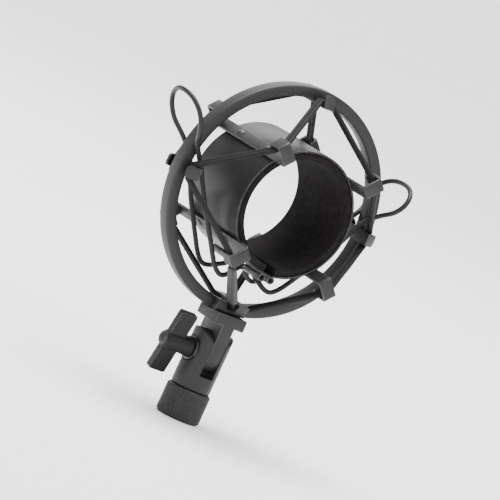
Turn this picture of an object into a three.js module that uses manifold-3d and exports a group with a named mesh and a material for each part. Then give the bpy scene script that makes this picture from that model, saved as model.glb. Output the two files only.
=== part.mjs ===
// Suspension mount for a microphone: a clamping sleeve hung by elastic cord inside a ring,
// on a tilting bracket with a threaded stand socket.
// Millimetres, +Z up. The origin is the centre of the socket's mouth, where the stand enters.
// The ring and the sleeve share an axis along Y, and the front looks along -Y.
import * as THREE from "three";
import { mergeVertices } from "three/addons/utils/BufferGeometryUtils.js";
import Module from "manifold-3d";

const wasm = await Module();
wasm.setup();

// ---- driving dimensions ----
const GAP = 0.3;
const RING = { height: 96.8, setback: 2.5, outer: 50, inner: 45.1, halfDepth: 3.25, chamfer: 0.7 };
const SLEEVE = { outer: 27.3, inner: 26.5, halfLength: 20.4 };
const LINING = { inner: 23.3, outer: 26.3, halfLength: 20.2 };
const SLIT = { barrelX: 2.28, barrelDrop: 28.6, barrelOuter: 1.65, barrelBore: 1.25, innerEnd: 6.6 };
const INNER_STRIP = { floor: 27.5, top: 36.7, halfLength: 30.8, flange: 8.5, lip: 3.4, thick: 1.1, width: 5.6 };
const OUTER_STRIP = { floor: 43.7, halfLength: 11.5, lean: 30, thick: 1.1, width: 5.2 };
const RIVET = { spacing: 11, head: 1.7, rise: 0.6 };
const CORD = { radius: 0.95, clear: 0.1, pitch: 2.3, outerY: 7.95, innerY: 26.95 };
// The sheath's ends: share of the way along the span, and radius.
const SHEATH = { near: [0.14, 1.45], far: [0.84, 1.9], clear: 1.1 };
const WIRE = 1.05;
const PIVOT = { height: 29, tongue: 3, slot: 3.3, bore: 2.6, stud: 2.3, tongueEnd: 7.7 };
const CLEVIS = { radius: 8.45, bottom: 13.3, arm: 9.5, slotFloor: 20, spotFace: 7.2, spotRadius: 5.6 };
const NUT = { radius: 3.7, floor: 4.7, face: 7.1 };
const COLLAR = { radius: 9.45, rootRadius: 9.1, height: 13, bore: 7.75, web: 2.4, ribs: 48, neckHole: 5.2 };
const BRACKET = { halfWidth: 7.4, halfDepth: 7.7, foot: 54, ledge: 49.2, ear: 44.6, wall: 3.1, lip: 47.2 };
const NOTCH = { start: -2.7, floor: 47.3 };
const KNOB = { bossRadius: 4.4, start: 8.8, wingStart: 13.6, wingEnd: 21.6, halfLength: 14, thick: 3.4, turn: 13.5 };
const SIDES = { left: -1, right: 1 };
const LEVER_REACH = { left: 1.0, right: 0.92 };

const ringCentre = new THREE.Vector3(0, RING.setback, RING.height);

// ---- finishes ----
const finish = (color, roughness, metalness) => ({ color, roughness, metalness });
const COATED = finish("#4b494a", 0.5, 0.35);
const DARK = finish("#38373a", 0.45, 0.5);
const FELT = finish("#241f1d", 0.95, 0);
const ELASTIC = finish("#3f3e40", 0.8, 0);

// ---- helpers ----
function faceOut(geometry) {
  const source = geometry.clone();
  for (const name of Object.keys(source.attributes)) {
    if (name !== "position") source.deleteAttribute(name);
  }
  const merged = mergeVertices(source, 1e-4);
  const place = merged.attributes.position;
  const index = merged.index.array;
  const kept = [];
  let volume = 0;
  const [a, b, c] = [new THREE.Vector3(), new THREE.Vector3(), new THREE.Vector3()];
  for (let i = 0; i < index.length; i += 3) {
    const [p, q, r] = [index[i], index[i + 1], index[i + 2]];
    if (p === q || q === r || r === p) continue;
    a.fromBufferAttribute(place, p);
    b.fromBufferAttribute(place, q);
    c.fromBufferAttribute(place, r);
    volume += a.dot(b.cross(c));
    kept.push(p, q, r);
  }
  if (volume < 0) {
    for (let i = 0; i < kept.length; i += 3) [kept[i], kept[i + 1]] = [kept[i + 1], kept[i]];
  }
  merged.setIndex(kept);
  return merged;
}

function solid(geometry) {
  const closed = faceOut(geometry);
  const mesh = new wasm.Mesh({
    numProp: 3,
    vertProperties: new Float32Array(closed.attributes.position.array),
    triVerts: new Uint32Array(closed.index.array),
  });
  return new wasm.Manifold(mesh);
}

function fromSolid(body) {
  const mesh = body.getMesh();
  const geometry = new THREE.BufferGeometry();
  geometry.setAttribute("position", new THREE.BufferAttribute(new Float32Array(mesh.vertProperties), 3));
  geometry.setIndex(new THREE.BufferAttribute(new Uint32Array(mesh.triVerts), 1));
  return geometry;
}

function polygon(points) {
  return new THREE.Shape(points.map(([x, y]) => new THREE.Vector2(x, y)));
}

// A flat outline in X and Z, as thick as from y0 to y1.
function slab(shape, y0, y1) {
  const geometry = new THREE.ExtrudeGeometry(shape, { depth: y1 - y0, bevelEnabled: false });
  return geometry.rotateX(Math.PI / 2).translate(0, y1, 0);
}

function block(x0, x1, y0, y1, z0, z1) {
  const geometry = new THREE.BoxGeometry(x1 - x0, y1 - y0, z1 - z0);
  return geometry.translate((x0 + x1) / 2, (y0 + y1) / 2, (z0 + z1) / 2);
}

// A turned piece: profile points are [radius, distance along the axis].
function turned(profile, segments) {
  return new THREE.LatheGeometry(profile.map(([r, h]) => new THREE.Vector2(r, h)), segments);
}

const aboutX = (geometry) => geometry.rotateZ(-Math.PI / 2);
const aboutZ = (geometry) => geometry.rotateX(Math.PI / 2);

// An arc of tube wall about the Y axis, between two angles in degrees from +X towards +Z.
function arcWall(inner, outer, from, to, halfLength) {
  const shape = new THREE.Shape();
  const [a0, a1] = [THREE.MathUtils.degToRad(from), THREE.MathUtils.degToRad(to)];
  shape.absarc(0, 0, outer, a0, a1, false);
  shape.absarc(0, 0, inner, a1, a0, true);
  shape.closePath();
  const curveSegments = Math.ceil((to - from) / 6);
  const geometry = new THREE.ExtrudeGeometry(shape, {
    depth: 2 * halfLength,
    bevelEnabled: false,
    curveSegments,
  });
  return geometry.rotateX(Math.PI / 2).translate(0, halfLength, 0);
}

// The outline of a folded strip: the path is one face, and the other lies `thick` to its left.
function foldedOutline(path, thick) {
  const points = path.map(([x, y]) => new THREE.Vector2(x, y));
  const offset = points.map((point, i) => {
    const before = i > 0 ? point.clone().sub(points[i - 1]).normalize() : null;
    const after = i < points.length - 1 ? points[i + 1].clone().sub(point).normalize() : null;
    const first = before ?? after;
    const second = after ?? before;
    const normal = new THREE.Vector2(-first.y - second.y, first.x + second.x).normalize();
    const stretch = normal.dot(new THREE.Vector2(-first.y, first.x));
    return point.clone().addScaledVector(normal, thick / stretch);
  });
  return new THREE.Shape([...points, ...offset.reverse()]);
}

// Carries a profile drawn in (along Y, radius) to its angle round the axis.
function atAngle(geometry, degrees, centre) {
  const swap = new THREE.Matrix4().set(0, 0, 1, 0, 1, 0, 0, 0, 0, 1, 0, 0, 0, 0, 0, 1);
  geometry.applyMatrix4(swap);
  geometry.rotateY(THREE.MathUtils.degToRad(90 - degrees));
  return geometry.translate(centre.x, centre.y, centre.z);
}

const assembly = new THREE.Group();

function add(name, geometry, look) {
  const material = new THREE.MeshStandardMaterial({ ...look, side: THREE.FrontSide });
  const mesh = new THREE.Mesh(faceOut(geometry), material);
  mesh.name = name;
  assembly.add(mesh);
}

const toRing = (body) => body.translate([ringCentre.x, ringCentre.y, ringCentre.z]);

// ---- stand socket and clevis ----
function knurledCollar() {
  const outline = [];
  for (let i = 0; i < COLLAR.ribs; i += 1) {
    for (const [share, radius] of [[0, COLLAR.rootRadius], [0.3, COLLAR.radius], [0.7, COLLAR.radius]]) {
      const angle = ((i + share) / COLLAR.ribs) * 2 * Math.PI;
      outline.push([radius * Math.cos(angle), radius * Math.sin(angle)]);
    }
  }
  const ribs = solid(new THREE.ExtrudeGeometry(polygon(outline), { depth: COLLAR.height, bevelEnabled: false }));
  const edge = 0.8;
  const ease = solid(aboutZ(turned([
    [0, 0], [COLLAR.radius - edge, 0], [COLLAR.radius + 0.1, edge + 0.1],
    [COLLAR.radius + 0.1, COLLAR.height - edge - 0.1], [COLLAR.radius - edge, COLLAR.height], [0, COLLAR.height],
  ], 48)));
  const socketDepth = COLLAR.height - COLLAR.web;
  const bore = solid(aboutZ(turned([
    [0, -1], [COLLAR.bore + 0.5, -1], [COLLAR.bore + 0.5, 0.3], [COLLAR.bore, 0.9], [COLLAR.bore, socketDepth],
    [COLLAR.neckHole, socketDepth], [COLLAR.neckHole, COLLAR.height + 1], [0, COLLAR.height + 1],
  ], 48)));
  add("knurled_collar", fromSolid(ribs.intersect(ease).subtract(bore)), COATED);
}

function clevis() {
  const top = PIVOT.height + CLEVIS.arm;
  const neck = COLLAR.neckHole - GAP;
  const groove = { bottom: 8.9, top: 10.3, radius: 4.1 };
  let body = solid(aboutZ(turned([
    [0, 7.6], [neck, 7.6], [neck, groove.bottom], [groove.radius, groove.bottom],
    [groove.radius, groove.top], [neck, groove.top], [neck, CLEVIS.bottom], [CLEVIS.radius - 0.4, CLEVIS.bottom],
    [CLEVIS.radius, CLEVIS.bottom + 0.4], [CLEVIS.radius, top], [0, top],
  ], 56)));
  const drum = (radius, x0, x1, sides) => {
    const cylinder = aboutX(new THREE.CylinderGeometry(radius, radius, x1 - x0, sides));
    return solid(cylinder.translate((x0 + x1) / 2, 0, PIVOT.height));
  };
  const below = solid(block(-12, 12, -12, 12, 0, PIVOT.height));
  body = body.intersect(below.add(drum(CLEVIS.arm, -12, 12, 64)));
  body = body.subtract(solid(block(-PIVOT.slot, PIVOT.slot, -12, 12, CLEVIS.slotFloor, top + 2)));
  body = body.subtract(drum(PIVOT.bore, -15, 15, 32));
  body = body.subtract(drum(CLEVIS.spotRadius, -CLEVIS.spotFace - 4, -CLEVIS.spotFace, 40));
  body = body.subtract(drum(NUT.radius + GAP, NUT.floor, 15, 40));
  add("clevis", fromSolid(body), COATED);
  add("retaining_ring", aboutZ(turned([[4.35, 9.1], [6.9, 9.1], [6.9, 10.1], [4.35, 10.1], [4.35, 9.1]], 40)), DARK);
}

// ---- clamp screw ----
function clampScrew() {
  const bore = PIVOT.stud + GAP;
  const [inside, face] = [NUT.floor + GAP, NUT.face];
  const lock = turned([
    [bore, inside], [NUT.radius, inside], [NUT.radius, face - 0.4], [NUT.radius - 0.4, face],
    [bore, face], [bore, inside],
  ], 40);
  add("lock_nut", aboutX(lock).translate(0, 0, PIVOT.height), DARK);
  const seat = CLEVIS.spotFace + GAP;
  const washer = aboutX(turned([
    [bore, seat], [5.2, seat], [5.2, KNOB.start - GAP], [bore, KNOB.start - GAP], [bore, seat],
  ], 40));
  add("knob_washer", washer.rotateZ(Math.PI).translate(0, 0, PIVOT.height), DARK);
  const reach = { left: 17.4, right: NUT.face };
  const stud = aboutX(new THREE.CylinderGeometry(PIVOT.stud, PIVOT.stud, reach.left + reach.right, 32));
  add("clamp_stud", stud.translate((reach.right - reach.left) / 2, 0, PIVOT.height), DARK);
}

function wingKnob() {
  const boss = solid(aboutX(turned([
    [0, KNOB.start], [KNOB.bossRadius - 0.4, KNOB.start], [KNOB.bossRadius, KNOB.start + 0.4],
    [3.9, KNOB.wingStart], [3.9, 21], [3.2, 21.7], [2.8, 22.7], [1.8, 23.2], [0, 23.4],
  ], 40)).rotateZ(Math.PI));
  const corner = 1;
  const wing = new THREE.Shape();
  wing.moveTo(-KNOB.wingEnd + corner, -KNOB.halfLength);
  wing.lineTo(-KNOB.wingStart - corner, -KNOB.halfLength);
  wing.quadraticCurveTo(-KNOB.wingStart, -KNOB.halfLength, -KNOB.wingStart, -KNOB.halfLength + corner);
  wing.lineTo(-KNOB.wingStart, KNOB.halfLength - corner);
  wing.quadraticCurveTo(-KNOB.wingStart, KNOB.halfLength, -KNOB.wingStart - corner, KNOB.halfLength);
  wing.lineTo(-KNOB.wingEnd + corner, KNOB.halfLength);
  wing.quadraticCurveTo(-KNOB.wingEnd, KNOB.halfLength, -KNOB.wingEnd, KNOB.halfLength - corner);
  wing.lineTo(-KNOB.wingEnd, -KNOB.halfLength + corner);
  wing.quadraticCurveTo(-KNOB.wingEnd, -KNOB.halfLength, -KNOB.wingEnd + corner, -KNOB.halfLength);
  const plate = solid(slab(wing, -KNOB.thick / 2, KNOB.thick / 2));
  const bore = PIVOT.stud + GAP;
  const hole = solid(aboutX(turned([[0, 0], [bore, 0], [bore, 17.8], [0, 17.8]], 32)).rotateZ(Math.PI));
  const body = boss.add(plate).subtract(hole).rotate([KNOB.turn, 0, 0]);
  add("wing_knob", fromSolid(body.translate([0, 0, PIVOT.height])), COATED);
}

// ---- bracket and ring ----
function outerRing() {
  const { outer, inner, halfDepth: half, chamfer: c } = RING;
  const profile = [
    [inner + c, -half], [outer - c, -half], [outer, -half + c], [outer, half - c],
    [outer - c, half], [inner + c, half], [inner, half - c], [inner, -half + c], [inner + c, -half],
  ];
  add("outer_ring", turned(profile, 96).translate(...ringCentre), COATED);
}

function ringChannel() {
  const wide = RING.halfDepth + GAP;
  return solid(turned([
    [40, -wide], [RING.outer + GAP, -wide], [RING.outer + GAP, wide], [40, wide], [40, -wide],
  ], 96));
}

function bracket() {
  const { halfWidth: w, halfDepth: d, foot, ledge, ear, wall, lip } = BRACKET;
  const [front, back] = [-d - RING.setback, d - RING.setback];
  const behind = RING.halfDepth + GAP;
  let body = solid(block(-w, w, front, back, -foot, -ledge));
  body = body.add(solid(block(-w, w, behind, back, -ledge - 1, -lip)));
  const pivotDrop = RING.height - PIVOT.height;
  const outline = new THREE.Shape();
  outline.moveTo(PIVOT.tongueEnd, -foot + 1);
  outline.lineTo(-PIVOT.tongueEnd, -foot + 1);
  outline.absarc(0, -pivotDrop, PIVOT.tongueEnd, Math.PI, 2 * Math.PI, false);
  outline.closePath();
  const bladeShape = new THREE.ExtrudeGeometry(outline, {
    depth: 2 * PIVOT.tongue,
    bevelEnabled: false,
    curveSegments: 24,
  });
  bladeShape.rotateX(Math.PI / 2).rotateZ(Math.PI / 2).translate(-PIVOT.tongue, -RING.setback, 0);
  const bore = aboutX(new THREE.CylinderGeometry(PIVOT.bore, PIVOT.bore, 30, 32));
  body = body.add(solid(bladeShape)).subtract(solid(bore.translate(0, -RING.setback, -pivotDrop)));
  add("mount_bracket", fromSolid(toRing(body.subtract(ringChannel()))), COATED);

  const plate = new THREE.Shape();
  plate.moveTo(-w, -ledge + GAP);
  plate.lineTo(w, -ledge + GAP);
  plate.lineTo(w, -NOTCH.floor);
  plate.lineTo(NOTCH.start, -NOTCH.floor);
  plate.lineTo(NOTCH.start, -ear);
  plate.lineTo(-w, -ear);
  plate.closePath();
  const keeper = slab(plate, -behind - wall, -behind);
  add("ring_clamp_plate", keeper.translate(...ringCentre), COATED);
}

// ---- suspension hooks ----
const OUTER_HOOKS = {
  hook_right: { degrees: 0, tab: 6.6 },
  hook_top: { degrees: 90, tab: 6.6 },
  hook_left: { degrees: 180, tab: 6.6 },
  hook_bottom: { degrees: 273.2, tab: 5 },
};
const INNER_HOOKS = { upper_right: 45, upper_left: 135, lower_left: 225, lower_right: 315 };

function outerHook(name, { degrees, tab }) {
  const { floor, halfLength: half, lean, thick, width } = OUTER_STRIP;
  const back = tab * Math.sin(THREE.MathUtils.degToRad(lean));
  const tip = floor + tab * Math.cos(THREE.MathUtils.degToRad(lean));
  const path = [[-half + back, tip], [-half, floor], [half, floor], [half - back, tip]];
  const strip = new THREE.ExtrudeGeometry(foldedOutline(path, thick), { depth: width, bevelEnabled: false });
  add(name, atAngle(strip.translate(0, 0, -width / 2), degrees, ringCentre), COATED);
}

function innerHook(name, degrees) {
  const { floor, top, halfLength: half, flange, lip, thick, width } = INNER_STRIP;
  const path = [
    [-half + flange, top - lip], [-half + flange, top], [-half, top], [-half, floor],
    [half, floor], [half, top], [half - flange, top], [half - flange, top - lip],
  ];
  const strip = new THREE.ExtrudeGeometry(foldedOutline(path, thick), { depth: width, bevelEnabled: false });
  const placed = atAngle(strip.translate(0, 0, -width / 2), degrees, ringCentre);
  add(`hook_strip_${name}`, placed, COATED);

  const surface = floor + thick + 0.05;
  for (const [end, side] of [["front", -1], ["rear", 1]]) {
    const head = new THREE.LatheGeometry([
      new THREE.Vector2(0, 0), new THREE.Vector2(RIVET.head, 0), new THREE.Vector2(RIVET.head * 0.85, RIVET.rise * 0.6),
      new THREE.Vector2(RIVET.head * 0.45, RIVET.rise), new THREE.Vector2(0, RIVET.rise * 1.1),
    ], 20);
    const rivet = atAngle(head.translate(side * RIVET.spacing, surface, 0), degrees, ringCentre);
    add(`rivet_${name}_${end}`, rivet, DARK);
  }
}

// ---- clamping sleeve ----
const HINGE_GAP = 0.4;
const slitAngle = THREE.MathUtils.radToDeg(Math.asin(SLIT.barrelX / SLEEVE.outer));

function sleeveTop() {
  const wall = solid(arcWall(SLEEVE.inner, SLEEVE.outer, HINGE_GAP, 180 - HINGE_GAP, SLEEVE.halfLength));
  add("sleeve_top", fromSolid(toRing(wall)), COATED);
  const pad = solid(arcWall(LINING.inner, LINING.outer, HINGE_GAP, 180 - HINGE_GAP, LINING.halfLength));
  add("lining_top", fromSolid(toRing(pad)), FELT);
}

function sleeveJaw(side) {
  const sign = SIDES[side];
  const from = side === "left" ? 180 + HINGE_GAP : 270 + slitAngle;
  const to = side === "left" ? 270 - slitAngle : 360 - HINGE_GAP;
  let wall = solid(arcWall(SLEEVE.inner, SLEEVE.outer, from, to, SLEEVE.halfLength));
  const length = SLEEVE.halfLength - SLIT.innerEnd;
  for (const end of [-1, 1]) {
    const middle = end * (SLIT.innerEnd + length / 2);
    const place = (radius, long) => new THREE.CylinderGeometry(radius, radius, long, 24)
      .translate(sign * SLIT.barrelX, middle, -SLIT.barrelDrop);
    wall = wall.add(solid(place(SLIT.barrelOuter, length)));
    wall = wall.subtract(solid(place(SLIT.barrelBore, length + 2)));
  }
  add(`jaw_${side}`, fromSolid(toRing(wall)), COATED);
  const padEdge = slitAngle + 1.2;
  const padFrom = side === "left" ? 180 + HINGE_GAP : 270 + padEdge;
  const padTo = side === "left" ? 270 - padEdge : 360 - HINGE_GAP;
  const pad = solid(arcWall(LINING.inner, LINING.outer, padFrom, padTo, LINING.halfLength));
  add(`lining_${side}`, fromSolid(toRing(pad)), FELT);
}

// Half of a lever's route, from its end in the front barrel to the top of its loop:
// outward, along Y, and up, from the sleeve's centre.
const LEVER_ROUTE = [
  [2.28, -14, -28.6], [2.28, -10, -28.6], [2.28, -6.2, -28.6], [2.9, -4.3, -29.3], [4.8, -4.2, -31.0],
  [7.4, -5.3, -32.8], [10.2, -6.6, -34.5], [13.0, -7.1, -34.9], [16.2, -7.1, -33.0], [24.4, -6.8, -22.4],
  [32.6, -6.1, -11.1], [38.6, -5.0, -1.4], [40.8, -4.7, 2.4], [44.4, -4.7, 7.0], [49.0, -6.9, 11.9],
  [52.6, -10.8, 16.2], [55.2, -12.4, 20.6], [57.6, -11.2, 24.8], [59.8, -6.8, 28.2], [60.9, 0, 29.4],
];
const BEYOND_RING = 44;

function leverWire(side) {
  const sign = SIDES[side];
  const reach = LEVER_REACH[side];
  const half = LEVER_ROUTE.map(([out, along, up]) => {
    const extra = Math.max(0, out - BEYOND_RING) * (reach - 1) * 2.9;
    return new THREE.Vector3(sign * (out + extra), along, up + extra * 0.93);
  });
  const back = half.slice(0, -1).reverse().map((p) => new THREE.Vector3(p.x, -p.y, p.z));
  const route = new THREE.CatmullRomCurve3([...half, ...back], false, "centripetal");
  const section = new THREE.Shape();
  section.absarc(0, 0, WIRE, 0, 2 * Math.PI, false);
  const wire = new THREE.ExtrudeGeometry(section, { steps: 96, curveSegments: 4, extrudePath: route });
  add(`lever_${side}`, wire.translate(...ringCentre), DARK);
}

// ---- elastic cord ----
// Every loop zigzags between the ring's hooks and the sleeve's hooks, at one end of the sleeve.
const CORD_STOPS = [0, 45, 90, 135, 180, 225, OUTER_HOOKS.hook_bottom.degrees, 315];

function cordRoute(end, strand) {
  const outerY = end * (CORD.outerY - strand * CORD.pitch);
  const innerY = end * (CORD.innerY - strand * CORD.pitch);
  const bend = CORD.radius + CORD.clear;
  const shoulder = bend * Math.SQRT1_2;
  const half = OUTER_STRIP.width / 2;
  const crown = OUTER_STRIP.floor + OUTER_STRIP.thick;
  const channel = INNER_STRIP.top - INNER_STRIP.thick - CORD.radius - 2 * CORD.clear;
  const points = [];
  for (let k = 0; k < 8; k += 1) {
    const angle = THREE.MathUtils.degToRad(CORD_STOPS[k]);
    const stops = k % 2 === 0
      ? [[-half - bend, crown], [-half - shoulder, crown + shoulder], [-half, crown + bend],
        [half, crown + bend], [half + shoulder, crown + shoulder], [half + bend, crown]]
      : [[-2.9, channel], [2.9, channel]];
    const y = k % 2 === 0 ? outerY : innerY;
    for (const [across, radius] of stops) {
      const x = radius * Math.cos(angle) - across * Math.sin(angle);
      const z = radius * Math.sin(angle) + across * Math.cos(angle);
      points.push(new THREE.Vector3(x, y, z));
    }
  }
  return points;
}

class CordLoop extends THREE.Curve {
  constructor(points) {
    super();
    this.points = points;
  }

  getPointAt(u, target = new THREE.Vector3()) {
    const step = Math.round(u * this.points.length) % this.points.length;
    return target.copy(this.points[step]);
  }

  getTangentAt(u, target = new THREE.Vector3()) {
    const count = this.points.length;
    const step = Math.round(u * count) % count;
    const before = this.points[(step + count - 1) % count];
    const here = this.points[step];
    const after = this.points[(step + 1) % count];
    const arriving = here.clone().sub(before).normalize();
    const leaving = after.clone().sub(here).normalize();
    return target.copy(arriving.add(leaving).normalize());
  }
}

function elasticCords() {
  for (const [label, end] of [["front", -1], ["rear", 1]]) {
    for (const strand of [0, 1]) {
      const points = cordRoute(end, strand);
      const cord = new THREE.TubeGeometry(new CordLoop(points), points.length, CORD.radius, 8, true);
      add(`elastic_${label}_${strand + 1}`, cord.translate(...ringCentre), ELASTIC);
    }
  }
}

// The sheath over the cord's joined ends, on the two strands from the lower left sleeve hook
// to the bottom ring hook. It has both strands inside it.
function cordSheath() {
  const [leave, arrive] = [23, 24];
  const strands = [0, 1].map((strand) => cordRoute(-1, strand));
  const around = (stops) => wasm.Manifold.hull(stops.flatMap(([share, radius]) => strands.map((points) => {
    const middle = points[leave].clone().lerp(points[arrive], share);
    return wasm.Manifold.sphere(radius, 24).translate(middle.x, middle.y, middle.z);
  })));
  const { near, far, clear } = SHEATH;
  const sheath = around([near, far]).subtract(around([[-0.2, clear], [1.3, clear]]));
  add("cord_sheath", fromSolid(toRing(sheath)), ELASTIC);
}

// ---- the whole mount ----
knurledCollar();
clevis();
clampScrew();
wingKnob();
outerRing();
bracket();
for (const [name, place] of Object.entries(OUTER_HOOKS)) outerHook(name, place);
sleeveTop();
for (const side of Object.keys(SIDES)) {
  sleeveJaw(side);
  leverWire(side);
}
for (const [name, degrees] of Object.entries(INNER_HOOKS)) innerHook(name, degrees);
elasticCords();
cordSheath();

export default assembly;
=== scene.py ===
"""Visible pieces of a suspension mount for a microphone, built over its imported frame.

Metres, +Z up. The ring and the sleeve share an axis along Y, and the front looks along -Y.
"""

import math

import bmesh
import bpy
from mathutils import Matrix, Vector


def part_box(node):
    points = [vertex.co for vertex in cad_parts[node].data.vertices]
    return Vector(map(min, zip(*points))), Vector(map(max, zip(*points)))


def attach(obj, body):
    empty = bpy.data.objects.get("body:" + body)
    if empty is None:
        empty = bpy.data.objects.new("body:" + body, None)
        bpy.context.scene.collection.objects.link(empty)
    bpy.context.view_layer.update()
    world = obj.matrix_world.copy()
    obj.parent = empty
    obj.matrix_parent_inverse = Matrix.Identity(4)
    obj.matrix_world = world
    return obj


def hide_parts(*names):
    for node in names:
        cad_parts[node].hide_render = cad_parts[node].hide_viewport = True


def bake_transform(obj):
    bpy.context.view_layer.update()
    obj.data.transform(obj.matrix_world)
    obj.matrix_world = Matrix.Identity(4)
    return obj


bl_info = {
    "name": "Microphone suspension mount",
    "version": (1, 0, 0),
    "blender": (4, 5, 0),
    "location": "3D View > Sidebar > Mount",
    "description": "Builds the visible pieces of a microphone suspension mount over its packed frame",
    "category": "Add Mesh",
}

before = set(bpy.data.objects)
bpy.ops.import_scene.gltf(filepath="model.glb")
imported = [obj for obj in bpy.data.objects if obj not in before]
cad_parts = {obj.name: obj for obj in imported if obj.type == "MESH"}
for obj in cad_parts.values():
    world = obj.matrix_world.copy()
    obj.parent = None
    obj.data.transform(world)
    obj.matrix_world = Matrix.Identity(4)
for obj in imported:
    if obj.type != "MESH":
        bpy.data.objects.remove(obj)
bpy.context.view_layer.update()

MM = 0.001
RING_LOW, RING_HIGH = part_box("outer_ring")
CENTRE = (RING_LOW + RING_HIGH) / 2
SLEEVE_LOW, SLEEVE_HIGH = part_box("sleeve_top")
WASHER_LOW, WASHER_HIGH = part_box("knob_washer")
PIVOT = Vector((0, 0, (WASHER_LOW.z + WASHER_HIGH.z) / 2))

OUTER_HOOKS = {"right": 0, "top": 90, "left": 180, "bottom": 273.2}
INNER_HOOKS = {
    "upper_right": (45, "cradle"),
    "upper_left": (135, "cradle"),
    "lower_left": (225, "left_jaw"),
    "lower_right": (315, "right_jaw"),
}
CORD_NODES = ("elastic_front_1", "elastic_front_2", "elastic_rear_1", "elastic_rear_2")
SHARP = math.radians(38)


# ---- sizes and colours that a user may change ----


class MountSizes(bpy.types.PropertyGroup):
    """Sizes of the mount's visible pieces."""

    ring_outer: bpy.props.FloatProperty(
        name="Ring radius",
        description="Outer radius of the ring",
        default=(RING_HIGH.x - RING_LOW.x) / 2,
        unit="LENGTH",
        precision=5,
    )
    ring_inner: bpy.props.FloatProperty(
        name="Ring inner radius",
        description="Inner radius of the ring",
        default=45.1 * MM,
        unit="LENGTH",
        precision=5,
    )
    ring_half_depth: bpy.props.FloatProperty(
        name="Ring half depth",
        description="Half the ring's depth along its axis",
        default=(RING_HIGH.y - RING_LOW.y) / 2,
        unit="LENGTH",
        precision=5,
    )
    sleeve_outer: bpy.props.FloatProperty(
        name="Sleeve radius",
        description="Outer radius of the clamping sleeve",
        default=SLEEVE_HIGH.z - CENTRE.z,
        unit="LENGTH",
        precision=5,
    )
    sleeve_wall: bpy.props.FloatProperty(
        name="Sleeve wall",
        description="Thickness of the sleeve's spring sheet",
        default=0.8 * MM,
        unit="LENGTH",
        precision=5,
    )
    sleeve_half_length: bpy.props.FloatProperty(
        name="Sleeve half length",
        description="Half the sleeve's length along its axis",
        default=(SLEEVE_HIGH.y - SLEEVE_LOW.y) / 2,
        unit="LENGTH",
        precision=5,
    )
    lining_inner: bpy.props.FloatProperty(
        name="Lining inner radius",
        description="Radius of the bore that is left inside the felt",
        default=23.3 * MM,
        unit="LENGTH",
        precision=5,
    )
    strip_thickness: bpy.props.FloatProperty(
        name="Strip thickness",
        description="Thickness of the steel strip that the hooks are bent from",
        default=1.1 * MM,
        unit="LENGTH",
        precision=5,
    )
    fold_radius: bpy.props.FloatProperty(
        name="Fold radius",
        description="Outer radius of the folds in the hooks",
        default=1.4 * MM,
        unit="LENGTH",
        precision=5,
    )
    cord_radius: bpy.props.FloatProperty(
        name="Cord radius",
        description="Radius of the elastic cord",
        default=0.95 * MM,
        unit="LENGTH",
        precision=5,
    )
    wire_radius: bpy.props.FloatProperty(
        name="Lever wire radius",
        description="Radius of the wire that the levers are bent from",
        default=1.05 * MM,
        unit="LENGTH",
        precision=5,
    )


class MountColours(bpy.types.PropertyGroup):
    """Base colours of the mount's finishes."""

    coat: bpy.props.FloatVectorProperty(
        name="Powder coat",
        description="Colour of the coat on the ring, the hooks and the castings",
        default=(0.02, 0.0193, 0.0197),
        subtype="COLOR",
        min=0,
        max=1,
    )
    sleeve: bpy.props.FloatVectorProperty(
        name="Sleeve coat",
        description="Colour of the smoother coat on the spring sheet",
        default=(0.014, 0.0137, 0.0141),
        subtype="COLOR",
        min=0,
        max=1,
    )
    knob: bpy.props.FloatVectorProperty(
        name="Knob coat",
        description="Colour of the darker coat on the wing knob",
        default=(0.011, 0.0106, 0.0109),
        subtype="COLOR",
        min=0,
        max=1,
    )
    wire: bpy.props.FloatVectorProperty(
        name="Wire",
        description="Colour of the coated lever wire",
        default=(0.018, 0.0177, 0.0182),
        subtype="COLOR",
        min=0,
        max=1,
    )
    steel: bpy.props.FloatVectorProperty(
        name="Blackened steel",
        description="Colour of the rivets and the clamp screw",
        default=(0.012, 0.012, 0.0125),
        subtype="COLOR",
        min=0,
        max=1,
    )
    felt: bpy.props.FloatVectorProperty(
        name="Felt",
        description="Colour of the sleeve's lining",
        default=(0.0075, 0.0067, 0.0066),
        subtype="COLOR",
        min=0,
        max=1,
    )
    elastic: bpy.props.FloatVectorProperty(
        name="Elastic",
        description="Colour of the woven cover of the cord",
        default=(0.013, 0.0128, 0.0132),
        subtype="COLOR",
        min=0,
        max=1,
    )
    sheath: bpy.props.FloatVectorProperty(
        name="Sheath",
        description="Colour of the sheath over the cord's joined ends",
        default=(0.019, 0.0186, 0.0191),
        subtype="COLOR",
        min=0,
        max=1,
    )
    floor: bpy.props.FloatVectorProperty(
        name="Floor",
        description="Colour of the floor",
        default=(0.9, 0.9, 0.9),
        subtype="COLOR",
        min=0,
        max=1,
    )


# ---- finishes ----


class Value:
    """A number socket that arithmetic can be written on."""

    def __init__(self, finish, socket):
        self.finish = finish
        self.socket = socket

    def math(self, operation, *others):
        numbers = {i: other for i, other in enumerate((self, *others))}
        node = self.finish.node("ShaderNodeMath", {"operation": operation}, numbers)
        return Value(self.finish, node.outputs[0])

    def __add__(self, other):
        return self.math("ADD", other)

    def __mul__(self, other):
        return self.math("MULTIPLY", other)

    def __sub__(self, other):
        return self.math("SUBTRACT", other)

    def __rsub__(self, other):
        return self.math("MULTIPLY", -1.0) + other

    def __truediv__(self, other):
        return self.math("DIVIDE", other)

    def above(self, low, high):
        """0 at low or less, 1 at high or more."""
        scaled = (self - low) / (high - low)
        scaled.socket.node.use_clamp = True
        return scaled


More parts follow.
